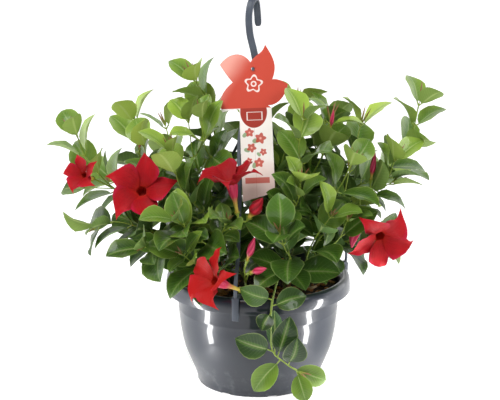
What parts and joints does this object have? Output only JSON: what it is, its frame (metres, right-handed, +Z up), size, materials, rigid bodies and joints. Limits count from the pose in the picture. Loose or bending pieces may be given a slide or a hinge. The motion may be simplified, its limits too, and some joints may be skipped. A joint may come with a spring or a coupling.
{
  "type": "potted mandevilla",
  "caption": "Climbing mandevilla with red funnel blooms and glossy opposite leaves, in a hanging pot with a hook hanger, clip-on straps and a flower-shaped tag.",
  "frame": {"origin": "centre of the pot's flat base", "axes": "+Z up along the pot's axis, -Y towards the front, where the tag hangs and a shoot trails over the rim"},
  "size_m": [0.5273, 0.4057, 0.5187],
  "materials": {
    "pot_plastic": "gloss",
    "hanger_plastic": "satin",
    "soil": "matte",
    "tag_card": "satin",
    "foliage": "satin",
    "red_petal": "matte",
    "pink_bud": "matte"
  },
  "bodies": {
    "root": {"pot": "pot_plastic", "soil": "soil", "hanger_hook": "hanger_plastic", "hanger_strap_front": "hanger_plastic", "hanger_strap_right": "hanger_plastic", "hanger_strap_left": "hanger_plastic", "tag": "tag_card", "stem_far_left": "foliage", "stem_left_back": "foliage", "stem_high_left": "foliage", "stem_left_front": "foliage", "stem_low_left": "foliage", "stem_far_right": "foliage", "stem_back_middle": "foliage", "stem_right_middle": "foliage", "stem_right_low": "foliage", "stem_trailing": "foliage", "stem_middle": "foliage", "stem_front_middle": "foliage", "stem_front_right": "foliage", "stem_back_left": "foliage", "stem_back": "foliage", "stem_back_right": "foliage", "bloom_left": "red_petal", "bloom_middle": "red_petal", "bloom_front": "red_petal", "bloom_right": "red_petal", "bloom_far_left": "red_petal", "bud_middle": "red_petal", "bud_front_upright": "pink_bud", "bud_front_level": "pink_bud", "bud_right_hanging": "pink_bud", "bud_right_upright": "pink_bud", "bud_right_slim": "pink_bud", "bud_left_slim": "pink_bud"}
  },
  "joints": []
}
